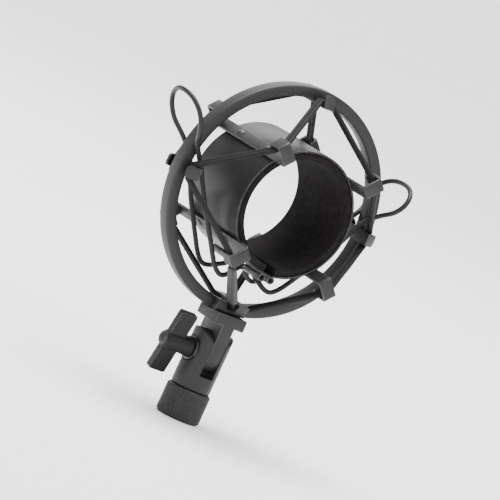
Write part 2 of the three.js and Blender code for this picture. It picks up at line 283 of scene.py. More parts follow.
class Finish:
    """A material with one Principled shader, built a node at a time."""

    def __init__(self, name):
        self.material = bpy.data.materials.new(name)
        self.material.use_nodes = True
        self.tree = self.material.node_tree
        self.tree.nodes.clear()
        self.shader = self.node("ShaderNodeBsdfPrincipled")
        self.node("ShaderNodeOutputMaterial", {}, {"Surface": self.shader.outputs[0]})
        self.place = self.node("ShaderNodeTexCoord").outputs["Object"]

    def node(self, kind, settings=None, inputs=None):
        made = self.tree.nodes.new(kind)
        for name, setting in (settings or {}).items():
            setattr(made, name, setting)
        for name, given in (inputs or {}).items():
            self.feed(made.inputs[name], given)
        return made

    def feed(self, socket, given):
        if isinstance(given, Value):
            given = given.socket
        if isinstance(given, bpy.types.NodeSocket):
            self.tree.links.new(given, socket)
        else:
            socket.default_value = given

    def noise(self, scale, detail=2.0, roughness=0.5):
        """Cloudy noise with about `scale` features to the metre."""
        inputs = {"Vector": self.place, "Scale": scale, "Detail": detail, "Roughness": roughness}
        return Value(self, self.node("ShaderNodeTexNoise", {}, inputs).outputs["Fac"])

    def cells(self, scale):
        inputs = {"Vector": self.place, "Scale": scale}
        return Value(self, self.node("ShaderNodeTexVoronoi", {}, inputs).outputs["Distance"])

    def attribute(self, name):
        return self.node("ShaderNodeAttribute", {"attribute_name": name})

    def mix(self, share, low, high):
        """A colour between low and high."""
        made = self.node("ShaderNodeMix", {"data_type": "RGBA"})
        self.feed(made.inputs[0], share)
        self.feed(made.inputs[6], low)
        self.feed(made.inputs[7], high)
        return made.outputs[2]

    def bump(self, height, strength, distance):
        inputs = {"Height": height, "Strength": strength, "Distance": distance}
        return self.node("ShaderNodeBump", {}, inputs).outputs[0]

    def set(self, **sockets):
        for name, given in sockets.items():
            self.feed(self.shader.inputs[name.replace("_", " ")], given)


def shade(colour, factor):
    return tuple(min(1.0, channel * factor) for channel in colour) + (1.0,)


def coat_finish(name, colour, roughness, grain, grain_depth, wear_and_highlight_amount, specular):
    """Paint baked on metal: an orange-peel grain, a slow change of tone, and edges lightened partly as rubbed
    wear and partly as a painted highlight.
    """
    finish = Finish(name)
    slow = finish.noise(55.0, 3.0)
    smudge = finish.noise(240.0, 4.0, 0.6)
    peel = finish.noise(grain, 2.0, 0.55)
    pits = finish.cells(grain * 0.7)
    fleck = finish.noise(grain * 1.7, 1.0).above(0.66, 0.74)
    tone = (slow * 0.6 + smudge * 0.4).above(0.3, 0.7)
    body = finish.mix(tone, shade(colour, 0.84), shade(colour, 1.14))
    body = finish.mix(fleck * 0.25, body, shade(colour, 1.9))
    # Eased edges are lightened and made a little metallic, partly as rubbed wear and partly as a painted
    # highlight.
    rub_and_highlight = Value(finish, finish.attribute("wear").outputs["Fac"])
    patchy = finish.noise(420.0, 5.0, 0.65).above(0.36, 0.62)
    worn_and_highlit = rub_and_highlight * (patchy * 0.7 + 0.3) * wear_and_highlight_amount
    body = finish.mix(worn_and_highlit, body, (0.2, 0.196, 0.192, 1.0))
    rough = tone * 0.08 + (roughness - 0.04) + peel * 0.06 - worn_and_highlit * 0.1
    height = peel * 0.75 + pits * 0.25
    finish.set(
        Base_Color=body,
        Roughness=rough,
        Normal=finish.bump(height, 0.5, grain_depth),
        Metallic=worn_and_highlit * 0.5,
    )
    finish.shader.inputs["Specular IOR Level"].default_value = specular
    return finish.material


def drawn_wire_finish(colour):
    """A smooth plastic dip on wire, with faint runs along it."""
    finish = Finish("lever_wire_coat")
    tone = finish.noise(170.0, 3.0)
    fine = finish.noise(2600.0, 2.0)
    runs = finish.noise(600.0, 2.0)
    body = finish.mix(tone, shade(colour, 0.8), shade(colour, 1.2))
    finish.set(
        Base_Color=body,
        Roughness=tone * 0.12 + 0.3 + fine * 0.06,
        Normal=finish.bump(fine * 0.4 + runs * 0.6, 0.35, 0.00005),
    )
    finish.shader.inputs["Specular IOR Level"].default_value = 0.18
    return finish.material


def steel_finish(colour):
    """Chemically blackened steel with turning marks and a few bright edges, partly rubbed wear and partly
    painted highlight.
    """
    finish = Finish("turned_steel")
    tone = finish.noise(500.0, 4.0, 0.6)
    marks = finish.noise(3400.0, 2.0)
    rub_and_highlight = Value(finish, finish.attribute("wear").outputs["Fac"])
    # A few eased edges are lightened, partly as rubbed wear and partly as a painted highlight.
    bright = rub_and_highlight * finish.noise(900.0, 3.0).above(0.4, 0.6)
    body = finish.mix(tone, shade(colour, 0.7), shade(colour, 1.35))
    body = finish.mix(bright * 0.5, body, (0.22, 0.215, 0.21, 1.0))
    finish.set(
        Base_Color=body,
        Roughness=tone * 0.2 + 0.26,
        Metallic=bright * 0.3 + 0.2,
        Normal=finish.bump(marks, 0.3, 0.00004),
    )
    return finish.material


def felt_finish(colour):
    """Pressed wool felt: matted fibres over soft clumps."""
    finish = Finish("lining_felt")
    clumps = finish.noise(420.0, 4.0, 0.6)
    fibres = finish.noise(2600.0, 6.0, 0.75)
    lint = finish.noise(1500.0, 3.0, 0.8).above(0.56, 0.72)
    curl = finish.cells(1900.0)
    body = finish.mix(clumps.above(0.3, 0.7), shade(colour, 0.55), shade(colour, 1.9))
    body = finish.mix(fibres.above(0.42, 0.7) * 0.6, body, shade(colour, 2.8))
    body = finish.mix(lint * 0.35, body, (0.06, 0.052, 0.048, 1.0))
    mat = fibres * 0.6 + curl * 0.25 + clumps * 0.5
    finish.set(Base_Color=body, Roughness=0.95, Normal=finish.bump(mat, 0.9, 0.0004))
    finish.shader.inputs["Specular IOR Level"].default_value = 0.05
    finish.shader.inputs["Sheen Weight"].default_value = 0.015
    finish.shader.inputs["Sheen Roughness"].default_value = 0.55
    return finish.material


def elastic_finish(colour, radius):
    """The braided cover of an elastic cord. Its strands cross at 45 degrees."""
    finish = Finish("braided_elastic")
    lay = finish.node("ShaderNodeSeparateXYZ", {}, {"Vector": finish.attribute("lay").outputs["Vector"]})
    across, up, along = (Value(finish, lay.outputs[i]) for i in range(3))
    strands = 7.0
    around = up.math("ARCTAN2", across) * strands
    forward = along * (strands / radius)
    one = (around + forward).math("SINE")
    other = (around - forward).math("SINE")
    over = one.math("MAXIMUM", other) * 0.5 + 0.5
    fuzz = finish.noise(5200.0, 3.0, 0.7)
    tone = finish.noise(260.0, 3.0)
    # The colour is darker in the grooves between strands and lighter on the strands that lie over: painted
    # shade in the weave.
    body = finish.mix(over, shade(colour, 0.5), shade(colour, 1.25))
    body = finish.mix(fuzz.above(0.5, 0.75) * 0.35, body, shade(colour, 2.2))
    body = finish.mix(tone.above(0.35, 0.65) * 0.3, body, shade(colour, 0.75))
    finish.set(
        Base_Color=body,
        Roughness=0.8 - over * 0.22,
        Normal=finish.bump(over * 0.8 + fuzz * 0.2, 0.6, 0.00012),
    )
    finish.shader.inputs["Specular IOR Level"].default_value = 0.12
    return finish.material


def sheath_finish(colour):
    """A matt, faintly grained rubber sheath."""
    finish = Finish("soft_sheath")
    tone = finish.noise(300.0, 3.0)
    grain = finish.noise(3600.0, 3.0, 0.6)
    body = finish.mix(tone, shade(colour, 0.85), shade(colour, 1.15))
    body = finish.mix(grain.above(0.5, 0.8) * 0.3, body, shade(colour, 1.7))
    finish.set(Base_Color=body, Roughness=0.62 - tone * 0.08, Normal=finish.bump(grain, 0.4, 0.00005))
    return finish.material


def floor_finish(colour):
    """A pale matt floor with the faintest mottle."""
    finish = Finish("pale_floor")
    mottle = finish.noise(6.0, 3.0)
    finish.set(Base_Color=finish.mix(mottle, shade(colour, 0.985), shade(colour, 1.015)), Roughness=0.85)
    finish.shader.inputs["Specular IOR Level"].default_value = 0.2
    return finish.material


# Each coat's colour, roughness, grain to the metre, grain depth, edge wear with its painted edge highlight,
# and specular level.
COATS = {
    "ring_powder_coat": ("coat", 0.46, 1500.0, 0.00007, 0.35, 0.3),
    "strip_powder_coat": ("coat", 0.42, 1900.0, 0.00005, 0.6, 0.3),
    "casting_powder_coat": ("coat", 0.5, 1300.0, 0.0001, 0.45, 0.3),
    "sleeve_satin": ("sleeve", 0.36, 2200.0, 0.00003, 0.5, 0.16),
    "knob_coat": ("knob", 0.48, 1300.0, 0.0001, 0.3, 0.2),
}
OTHER_FINISHES = {
    "lever_wire_coat": (drawn_wire_finish, "wire"),
    "turned_steel": (steel_finish, "steel"),
    "lining_felt": (felt_finish, "felt"),
    "braided_elastic": (elastic_finish, "elastic"),
    "soft_sheath": (sheath_finish, "sheath"),
    "pale_floor": (floor_finish, "floor"),
}


def finish_named(context, name):
    """A finish, made at its first use from the scene's colours."""
    found = bpy.data.materials.get(name)
    if found:
        return found
    colours = context.scene.mount_colours
    if name in COATS:
        colour, *look = COATS[name]
        return coat_finish(name, getattr(colours, colour), *look)
    maker, colour = OTHER_FINISHES[name]
    if name == "braided_elastic":
        return maker(getattr(colours, colour), context.scene.mount_sizes.cord_radius)
    return maker(getattr(colours, colour))


# ---- shapes ----


def soften_shading(bm):
    """Smooth shading that breaks at sharp edges."""
    for face in bm.faces:
        face.smooth = True
    for edge in bm.edges:
        edge.smooth = edge.is_manifold and edge.calc_face_angle(0.0) < SHARP


def mark_worn_and_highlit_edges(bm):
    """Marks the vertices in the middle of narrow eased edges, which the coats lighten, partly as rubbed wear
    and partly as a painted highlight.
    """
    narrow, least_turn = 0.3 * MM, math.radians(22)
    layer = bm.verts.layers.float.new("wear")
    slim = {f: f.calc_area() < narrow * max(e.calc_length() for e in f.edges) for f in bm.faces}
    for vert in bm.verts:
        faces = vert.link_faces
        turned_by = max((a.normal.angle(b.normal, 0.0) for a in faces for b in faces), default=0.0)
        vert[layer] = float(turned_by > least_turn and all(slim[f] for f in faces))


def turned(profile, steps):
    """A solid of revolution about Z from (radius, height) points."""
    bm = bmesh.new()
    verts = [bm.verts.new((radius, 0, height)) for radius, height in profile]
    edges = [bm.edges.new(pair) for pair in zip(verts, verts[1:])]
    bmesh.ops.spin(
        bm,
        geom=verts + edges,
        cent=(0, 0, 0),
        axis=(0, 0, 1),
        angle=2 * math.pi,
        steps=steps,
        use_merge=True,
    )
    bmesh.ops.remove_doubles(bm, verts=bm.verts, dist=1e-6)
    bmesh.ops.holes_fill(bm, edges=[e for e in bm.edges if e.is_boundary])
    bmesh.ops.recalc_face_normals(bm, faces=bm.faces)
    return bm


def round_corners(bm, verts, radius, segments):
    """Bevels the corners of a flat outline at these vertices."""
    bmesh.ops.bevel(
        bm,
        geom=verts,
        offset=radius,
        offset_type="OFFSET",
        segments=segments,
        profile=0.5,
        affect="VERTICES",
        material=-1,
    )


def wall_arc(inner, outer, half, start, end, ease, steps):
    """Part of a tube about the Y axis, with its rims eased. Angles are in degrees from +X towards +Z."""
    bm = bmesh.new()
    corners = ((inner, -half), (outer, -half), (outer, half), (inner, half))
    verts = [bm.verts.new((radius, along, 0)) for radius, along in corners]
    bm.faces.new(verts)
    round_corners(bm, verts, ease, 3)
    bmesh.ops.delete(bm, geom=bm.faces[:], context="FACES_ONLY")
    bmesh.ops.rotate(bm, verts=bm.verts, cent=(0, 0, 0), matrix=Matrix.Rotation(-math.radians(start), 3, "Y"))
    whole = end - start >= 360
    bmesh.ops.spin(
        bm,
        geom=bm.verts[:] + bm.edges[:],
        cent=(0, 0, 0),
        axis=(0, -1, 0),
        angle=math.radians(end - start),
        steps=steps,
        use_merge=whole,
    )
    bmesh.ops.remove_doubles(bm, verts=bm.verts, dist=1e-6)
    bmesh.ops.holes_fill(bm, edges=[e for e in bm.edges if e.is_boundary])
    bmesh.ops.recalc_face_normals(bm, faces=bm.faces)
    return bm


def ease_edges(bm, offset, segments, least_turn, edges=None):
    """Bevels the edges that turn by more than least_turn degrees."""
    turn = math.radians(least_turn)
    chosen = edges or [e for e in bm.edges if e.is_manifold and e.calc_face_angle(0.0) > turn]
    bmesh.ops.bevel(
        bm,
        geom=chosen,
        offset=offset,
        offset_type="OFFSET",
        segments=segments,
        profile=0.5,
        affect="EDGES",
        clamp_overlap=True,
        material=-1,
    )


def bent_strip(path, width, thickness, fold, corners):
    """A strip folded along path, (along Y, radius) points. It has its thickness on the path's left, and
    corners gives the radius of the two corners at its first and at its last end."""
    bm = bmesh.new()
    first = [bm.verts.new((side * width / 2, *path[0])) for side in (-1, 1)]
    last, edge, folds = first, bm.edges.new(first), []
    for here, there in zip(path, path[1:]):
        grown = bmesh.ops.extrude_edge_only(bm, edges=[edge])["geom"]
        last = [item for item in grown if isinstance(item, bmesh.types.BMVert)]
        bmesh.ops.translate(bm, verts=last, vec=(0, there[0] - here[0], there[1] - here[1]))
        edge = next(e for e in last[0].link_edges if e.other_vert(last[0]) is last[1])
        folds.append(edge)
    for verts, radius in ((first, corners[0]), (last, corners[1])):
        round_corners(bm, verts, radius, 5)
    ease_edges(bm, fold, 5, 0, [e for e in folds[:-1] if e.is_valid])
    bmesh.ops.recalc_face_normals(bm, faces=bm.faces)
    lowest = min(bm.faces, key=lambda f: (round(f.calc_center_median().z, 6), -f.calc_area()))
    if lowest.normal.z < 0:
        bmesh.ops.reverse_faces(bm, faces=bm.faces)
    bmesh.ops.solidify(bm, geom=bm.faces[:], thickness=-thickness)
    bmesh.ops.recalc_face_normals(bm, faces=bm.faces)
    ease_edges(bm, 0.2 * MM, 3, 60)
    return bm


def tube(path, radius, sides, ends=None, steady=None, start=0.0):
    """A capped tube along path. Its lay attribute holds the way round it and the distance along it."""
    bm = bmesh.new()
    layer = bm.verts.layers.float_vector.new("lay")
    loops, normal, distance = [], None, start
    for i, point in enumerate(path):
        before, after = path[max(i - 1, 0)], path[min(i + 1, len(path) - 1)]
        tangent = (after - before).normalized()
        if ends and i in (0, len(path) - 1):
            tangent = ends[0 if i == 0 else 1]
        if steady:
            normal = tangent.cross(steady).normalized()
        elif normal is None:
            normal = tangent.orthogonal().normalized()
        else:
            normal = (normal - tangent * normal.dot(tangent)).normalized()
        side = tangent.cross(normal)
        stand = Matrix((normal, side, tangent)).transposed().to_4x4()
        stand.translation = point
        circle = bmesh.ops.create_circle(bm, cap_ends=False, segments=sides, radius=radius, matrix=stand)
        ring = circle["verts"]
        if i:
            distance += (point - before).length
        for vert in ring:
            reach = (vert.co - point) / radius
            vert[layer] = (reach.dot(normal), reach.dot(side), distance)
        loops.append(list({e for v in ring for e in v.link_edges}))
    for here, there in zip(loops, loops[1:]):
        bmesh.ops.bridge_loops(bm, edges=here + there)
    bmesh.ops.holes_fill(bm, edges=[e for e in bm.edges if e.is_boundary])
    bmesh.ops.recalc_face_normals(bm, faces=bm.faces)
    return bm


def copy_of(node, ease, segments, least_turn):
    """A copy of a CAD node with its flat faces joined and its edges eased."""
    bm = bmesh.new()
    bm.from_mesh(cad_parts[node].data)
    bmesh.ops.remove_doubles(bm, verts=bm.verts, dist=2e-6)
    bmesh.ops.dissolve_limit(bm, angle_limit=math.radians(0.6), verts=bm.verts, edges=bm.edges)
    ease_edges(bm, ease, segments, least_turn)
    return bm


def joined(shapes):
    """One bmesh that holds several, which are freed."""
    whole = bmesh.new()
    for shape in shapes:
        part = bpy.data.meshes.new("part")
        shape.to_mesh(part)
        shape.free()
        whole.from_mesh(part)
        bpy.data.meshes.remove(part)
    return whole


def at_angle(bm, degrees):
    """Carries a shape drawn at the top of the ring to its angle round the axis."""
    turn = Matrix.Rotation(math.radians(90 - degrees), 4, "Y")
    bmesh.ops.transform(bm, matrix=Matrix.Translation(CENTRE) @ turn, verts=bm.verts)
    return bm


def place(context, name, bm, finish, slot, replaces=(), body=None, bend=None, worn_and_highlit=True):
    """Makes a piece of a shape and ties it to its body. A piece that bends between two bodies is set in place
    and tied to neither.
    """
    soften_shading(bm)
    if worn_and_highlit:
        mark_worn_and_highlit_edges(bm)
    mesh = bpy.data.meshes.new(name)
    bm.to_mesh(mesh)
    bm.free()
    mesh.materials.append(finish_named(context, finish))
    piece = bpy.data.objects.new(name, mesh)
    context.scene.collection.objects.link(piece)
    if bend:
        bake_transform(piece)
    else:
        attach(piece, body)
    if replaces:
        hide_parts(*replaces)
    return piece


# ---- pieces ----


class MOUNT_OT_stand_end(bpy.types.Operator):
    """Build the knurled collar, the clevis and its retaining ring"""

    bl_idname = "mount.stand_end"
    bl_label = "Collar and clevis"

    def execute(self, context):
        collar = copy_of("knurled_collar", 0.09 * MM, 2, 12)
        place(context, "collar", collar, "casting_powder_coat", "cast_coat", ["knurled_collar"], "socket")
        fork = copy_of("clevis", 0.3 * MM, 3, 25)
        place(context, "clevis_post", fork, "casting_powder_coat", "cast_coat", ["clevis"], "post")
        for node in ("retaining_ring", "clamp_stud"):
            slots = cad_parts[node].data.materials
            slots.clear()
            slots.append(finish_named(context, "turned_steel"))
        return {"FINISHED"}


class MOUNT_OT_clamp_screw(bpy.types.Operator):
    """Build the wing knob, its washer and the lock nut"""

    bl_idname = "mount.clamp_screw"
    bl_label = "Clamp screw"

    def execute(self, context):
        start, wing, end, half, thick, turn = 8.8, 13.6, 21.6, 14.0, 3.4, 13.5
        hub = turned(
            [
                (0, start * MM),
                (4.0 * MM, start * MM),
                (4.28 * MM, (start + 0.1) * MM),
                (4.4 * MM, (start + 0.4) * MM),
                (3.95 * MM, wing * MM),
                (3.9 * MM, 20.9 * MM),
                (3.78 * MM, 21.25 * MM),
                (3.3 * MM, 21.65 * MM),
                (3.15 * MM, 21.9 * MM),
                (2.85 * MM, 22.55 * MM),
                (2.2 * MM, 23.05 * MM),
                (1.2 * MM, 23.32 * MM),
                (0, 23.4 * MM),
            ],
            64,
        )
        bmesh.ops.rotate(hub, verts=hub.verts, cent=(0, 0, 0), matrix=Matrix.Rotation(-math.pi / 2, 3, "Y"))
        plate = bmesh.new()
        bmesh.ops.create_cube(plate, size=1.0)
        bmesh.ops.scale(plate, verts=plate.verts, vec=((end - wing) * MM, thick * MM, 2 * half * MM))
        corners = [e for e in plate.edges if abs(e.verts[0].co.y - e.verts[1].co.y) > MM]
        ease_edges(plate, 1.0 * MM, 6, 0, corners)
        ease_edges(plate, 0.4 * MM, 3, 40)
        bmesh.ops.translate(plate, verts=plate.verts, vec=(-(wing + end) / 2 * MM, 0, 0))
        knob = joined([hub, plate])
        bmesh.ops.rotate(
            knob, verts=knob.verts, cent=(0, 0, 0), matrix=Matrix.Rotation(math.radians(turn), 3, "X")
        )
        bmesh.ops.translate(knob, verts=knob.verts, vec=PIVOT)
        place(context, "wing_knob_cast", knob, "knob_coat", "cast_coat", ["wing_knob"], "knob")
        washer = copy_of("knob_washer", 0.18 * MM, 3, 40)
        place(context, "knob_washer_ring", washer, "turned_steel", "blackened_steel", ["knob_washer"], "post")
        nut = copy_of("lock_nut", 0.2 * MM, 3, 30)
        place(context, "lock_nut_disc", nut, "turned_steel", "blackened_steel", ["lock_nut"], "post")
        return {"FINISHED"}


class MOUNT_OT_ring(bpy.types.Operator):
    """Build the outer ring, the tilting bracket and the ring's clamp plate"""

    bl_idname = "mount.ring"
    bl_label = "Ring and bracket"

    def execute(self, context):
        sizes = context.scene.mount_sizes
        ring = wall_arc(sizes.ring_inner, sizes.ring_outer, sizes.ring_half_depth, 0, 360, 0.9 * MM, 192)
        bmesh.ops.translate(ring, verts=ring.verts, vec=CENTRE)
        place(context, "ring_hoop", ring, "ring_powder_coat", "strip_coat", ["outer_ring"], "ring_frame")
        castings = (("bracket_block", "mount_bracket", 0.4), ("ring_keeper", "ring_clamp_plate", 0.22))
        for name, node, ease in castings:
            casting = copy_of(node, ease * MM, 3, 25)
            place(context, name, casting, "casting_powder_coat", "cast_coat", [node], "ring_frame")
        return {"FINISHED"}


class MOUNT_OT_outer_hooks(bpy.types.Operator):
    """Build the four hook strips inside the ring"""

    bl_idname = "mount.outer_hooks"
    bl_label = "Ring hooks"

    def execute(self, context):
        sizes = context.scene.mount_sizes
        floor, half, lean, width = 43.7 * MM, 11.5 * MM, math.radians(30), 5.2 * MM
        for name, degrees in OUTER_HOOKS.items():
            tab = (5.0 if name == "bottom" else 6.6) * MM
            corner = 1.1 * MM if name == "bottom" else 1.5 * MM
            back, tip = tab * math.sin(lean), floor + tab * math.cos(lean)
            path = [(-half + back, tip), (-half, floor), (half, floor), (half - back, tip)]
            strip = bent_strip(path, width, sizes.strip_thickness, sizes.fold_radius * 0.75, (corner, corner))
            place(
                context,
                f"ring_hook_{name}",
                at_angle(strip, degrees),
                "strip_powder_coat",
                "strip_coat",
                [f"hook_{name}"],
                "ring_frame",
            )
        return {"FINISHED"}


class MOUNT_OT_sleeve_hooks(bpy.types.Operator):
    """Build the four riveted hook strips on the sleeve"""

    bl_idname = "mount.sleeve_hooks"
    bl_label = "Sleeve hooks and rivets"

    def execute(self, context):
        sizes = context.scene.mount_sizes
        floor, top, half, flange, lip, width = (v * MM for v in (27.5, 36.7, 30.8, 8.5, 3.4, 5.6))
        path = [
            (-half + flange, top - lip),
            (-half + flange, top),
            (-half, top),
            (-half, floor),
            (half, floor),
            (half, top),
            (half - flange, top),
            (half - flange, top - lip),
        ]
        head = [(0, 0), (1.7, 0), (1.68, 0.12), (1.5, 0.34), (1.15, 0.52), (0.6, 0.64), (0, 0.67)]
        for name, (degrees, body) in INNER_HOOKS.items():
            strip = bent_strip(path, width, sizes.strip_thickness, sizes.fold_radius, (0.7 * MM, 0.7 * MM))
            place(
                context,
                f"sleeve_hook_{name}",
                at_angle(strip, degrees),
                "strip_powder_coat",
                "strip_coat",
                [f"hook_strip_{name}"],
                body,
            )
            seat = floor + sizes.strip_thickness + 0.04 * MM
            heads = []
            for side in (-1, 1):
                rivet = turned([(radius * MM, height * MM) for radius, height in head], 32)
                bmesh.ops.translate(rivet, verts=rivet.verts, vec=(0, side * 11 * MM, seat))
                heads.append(rivet)
            place(
                context,
                f"rivets_{name}",
                at_angle(joined(heads), degrees),
                "turned_steel",
                "blackened_steel",
                [f"rivet_{name}_front", f"rivet_{name}_rear"],
                body,
            )
        return {"FINISHED"}


class MOUNT_OT_sleeve(bpy.types.Operator):
    """Build the clamping sleeve, its felt and the rolled barrels at its slit"""

    bl_idname = "mount.sleeve"
    bl_label = "Sleeve and lining"

    def execute(self, context):
        sizes = context.scene.mount_sizes
        outer, half = sizes.sleeve_outer, sizes.sleeve_half_length
        inner = outer - sizes.sleeve_wall
        felt_outer, felt_half = inner - 0.2 * MM, half - 0.2 * MM
        barrel_x, drop = 2.28 * MM, 28.6 * MM
        slit = math.degrees(math.asin(barrel_x / outer))
        flex = outer * Vector((1, 0, 0))
        band = Vector((0, 0, 9 * MM))
        left = ("cradle", "left_jaw", CENTRE - flex + band, CENTRE - flex - band)
        right = ("cradle", "right_jaw", CENTRE + flex + band, CENTRE + flex - band)
        arcs = (
            ("crown", 45, 135, None, "top", 0.0),
            ("left", 135, 270 - slit, left, "left", -1.2),
            ("right", 270 + slit, 405, right, "right", 1.2),
        )
        for name, start, end, bend, part, trim in arcs:
            steps = round((end - start) / 1.5)
            sheet = wall_arc(inner, outer, half, start, end, 0.24 * MM, steps)
            bmesh.ops.translate(sheet, verts=sheet.verts, vec=CENTRE)
            node = "sleeve_top" if part == "top" else f"jaw_{part}"
            tie = {"bend": bend} if bend else {"body": "cradle"}
            place(context, f"sleeve_{name}", sheet, "sleeve_satin", "sleeve_coat", [node], **tie)
            felt_start, felt_end = start + max(trim, 0.0), end + min(trim, 0.0)
            felt = wall_arc(sizes.lining_inner, felt_outer, felt_half, felt_start, felt_end, 0.7 * MM, steps)
            bmesh.ops.translate(felt, verts=felt.verts, vec=CENTRE)
            place(context, f"felt_{name}", felt, "lining_felt", "felt", [f"lining_{part}"], worn_and_highlit=False, **tie)
        for name, side in (("left", -1), ("right", 1)):
            rolls = []
            for end in (-1, 1):
                near, far = 6.6 * MM, half
                bore, skin = 1.25 * MM, 1.65 * MM
                roll = turned([(bore, near), (skin, near), (skin, far), (bore, far), (bore, near)], 36)
                ease_edges(roll, 0.12 * MM, 2, 60)
                tilt = Matrix.Rotation(-end * math.pi / 2, 4, "X")
                spot = Matrix.Translation(CENTRE + Vector((side * barrel_x, 0, -drop)))
                bmesh.ops.transform(roll, matrix=spot @ tilt, verts=roll.verts)
                rolls.append(roll)
            barrels = joined(rolls)
            place(context, f"barrels_{name}", barrels, "sleeve_satin", "sleeve_coat", (), f"{name}_jaw")
        return {"FINISHED"}


LEVER_ROUTE = (
    (2.28, -14, -28.6), (2.28, -10, -28.6), (2.28, -6.2, -28.6), (2.9, -4.3, -29.3), (4.8, -4.2, -31.0),
    (7.4, -5.3, -32.8), (10.2, -6.6, -34.5), (13.0, -7.1, -34.9), (16.2, -7.1, -33.0), (24.4, -6.8, -22.4),
    (32.6, -6.1, -11.1), (38.6, -5.0, -1.4), (40.8, -4.7, 2.4), (44.4, -4.7, 7.0), (49.0, -6.9, 11.9),
    (52.6, -10.8, 16.2), (55.2, -12.4, 20.6), (57.6, -11.2, 24.8), (59.8, -6.8, 28.2), (60.9, 0, 29.4),
)
BEYOND_RING = 44


def flowing(points, steps):
    """A centripetal Catmull-Rom curve through the points, with steps points to a stretch."""
    padded = [points[0] * 2 - points[1], *points, points[-1] * 2 - points[-2]]
    path = []
    for a, b, c, d in zip(padded, padded[1:], padded[2:], padded[3:]):
        times = [0.0]
        for here, there in ((a, b), (b, c), (c, d)):
            times.append(times[-1] + math.sqrt((there - here).length))
        for step in range(steps):
            t = times[1] + (times[2] - times[1]) * step / steps
            ab = a.lerp(b, (t - times[0]) / (times[1] - times[0]))
            bc = b.lerp(c, (t - times[1]) / (times[2] - times[1]))
            cd = c.lerp(d, (t - times[2]) / (times[3] - times[2]))
            abc = ab.lerp(bc, (t - times[0]) / (times[2] - times[0]))
            bcd = bc.lerp(cd, (t - times[1]) / (times[3] - times[1]))
            path.append(abc.lerp(bcd, (t - times[1]) / (times[2] - times[1])))
    path.append(points[-1].copy())
    return path


class MOUNT_OT_levers(bpy.types.Operator):
    """Build the two wire levers"""

    bl_idname = "mount.levers"
    bl_label = "Wire levers"

    def execute(self, context):
        radius = context.scene.mount_sizes.wire_radius
        for name, side, reach in (("left", -1, 1.0), ("right", 1, 0.92)):
            half = []
            for out, along, up in LEVER_ROUTE:
                extra = max(0, out - BEYOND_RING) * (reach - 1) * 2.9
                half.append(Vector((side * (out + extra), along, up + extra * 0.93)) * MM + CENTRE)
            back = [Vector((p.x, 2 * CENTRE.y - p.y, p.z)) for p in reversed(half[:-1])]
            wire = tube(flowing(half + back, 5), radius, 20)
            ease_edges(wire, 0.3 * MM, 3, 60)
            place(
                context,
                f"lever_wire_{name}",
                wire,
                "lever_wire_coat",
                "wire",
                [f"lever_{name}"],
                f"{name}_jaw",
                worn_and_highlit=False,
            )
        return {"FINISHED"}


def corner_arc(before, corner, after, radius, steps):
    """Points of the arc that rounds a corner of a route."""
    back, on = (before - corner).normalized(), (after - corner).normalized()
    half = back.angle(on) / 2
    centre = corner + (back + on).normalized() * (radius / math.sin(half))
    reach = radius / math.tan(half)
    first, last = (corner + back * reach - centre).normalized(), (corner + on * reach - centre).normalized()
    return [centre + first.slerp(last, i / steps) * radius for i in range(steps + 1)]


def sheath_part(strands, shares, radii, capped):
    """A sheath round two strands from one share of the way along them to another. The end that capped
    names, the first or the last, is rounded."""
    bm = bmesh.new()
    ahead = sum((line[-1] - line[0] for line in strands), Vector()).normalized()
    low, high = shares
    thin, thick = radii
    body = [(low + (high - low) * i / 8, thin + (thick - thin) * i / 8, 0, 1) for i in range(9)]
    share, radius, sign = (low, thin, -1) if capped == "first" else (high, thick, 1)
    turns = [math.radians(18 * i) for i in range(1, 5)]
    cap = [(share, radius, sign * radius * math.sin(turn), math.cos(turn)) for turn in turns]
    loops = []
    for share, radius, shift, scale in [*reversed(cap), *body] if capped == "first" else [*body, *cap]:
        ends = [line[0].lerp(line[-1], share) for line in strands]
        apart = (ends[1] - ends[0]) / 2
        across = (apart - ahead * apart.dot(ahead)).normalized()
        stand = Matrix((across, ahead.cross(across), ahead)).transposed().to_4x4()
        stand.translation = (ends[0] + ends[1]) / 2 + ahead * shift
        circle = bmesh.ops.create_circle(
            bm, cap_ends=False, segments=26, radius=radius * scale, matrix=stand
        )
        ring = circle["verts"]
        for vert in ring:
            vert.co += apart if (vert.co - stand.translation).dot(across) > 0 else -apart
        loops.append(list({e for v in ring for e in v.link_edges}))
    for here, there in zip(loops, loops[1:]):
        bmesh.ops.bridge_loops(bm, edges=here + there)
    bmesh.ops.holes_fill(bm, edges=[e for e in bm.edges if e.is_boundary])
    bmesh.ops.recalc_face_normals(bm, faces=bm.faces)
    return bm


# The corners of a cord's turns: half the way across a hook, and the distance from the sleeve's axis.
RING_TURN = (3.035, 45.85)
SLEEVE_TURN = (2.95, 34.45)
# Where the outer strand lies along Y at a ring hook and at a sleeve hook, and the step to the next strand.
RING_STRAND, SLEEVE_STRAND, STRAND_STEP = 7.95, 26.95, 2.3
TURN_RADIUS = 1.05 * MM
SPAN_STEPS = 24
# The sheath's ends: share of the way along the span, and radius.
SHEATH_TOP, SHEATH_MIDDLE, SHEATH_FOOT = (0.14, 1.42 * MM), (0.5, 1.65 * MM), (0.84, 1.88 * MM)
SHEATHED_SPAN = 5


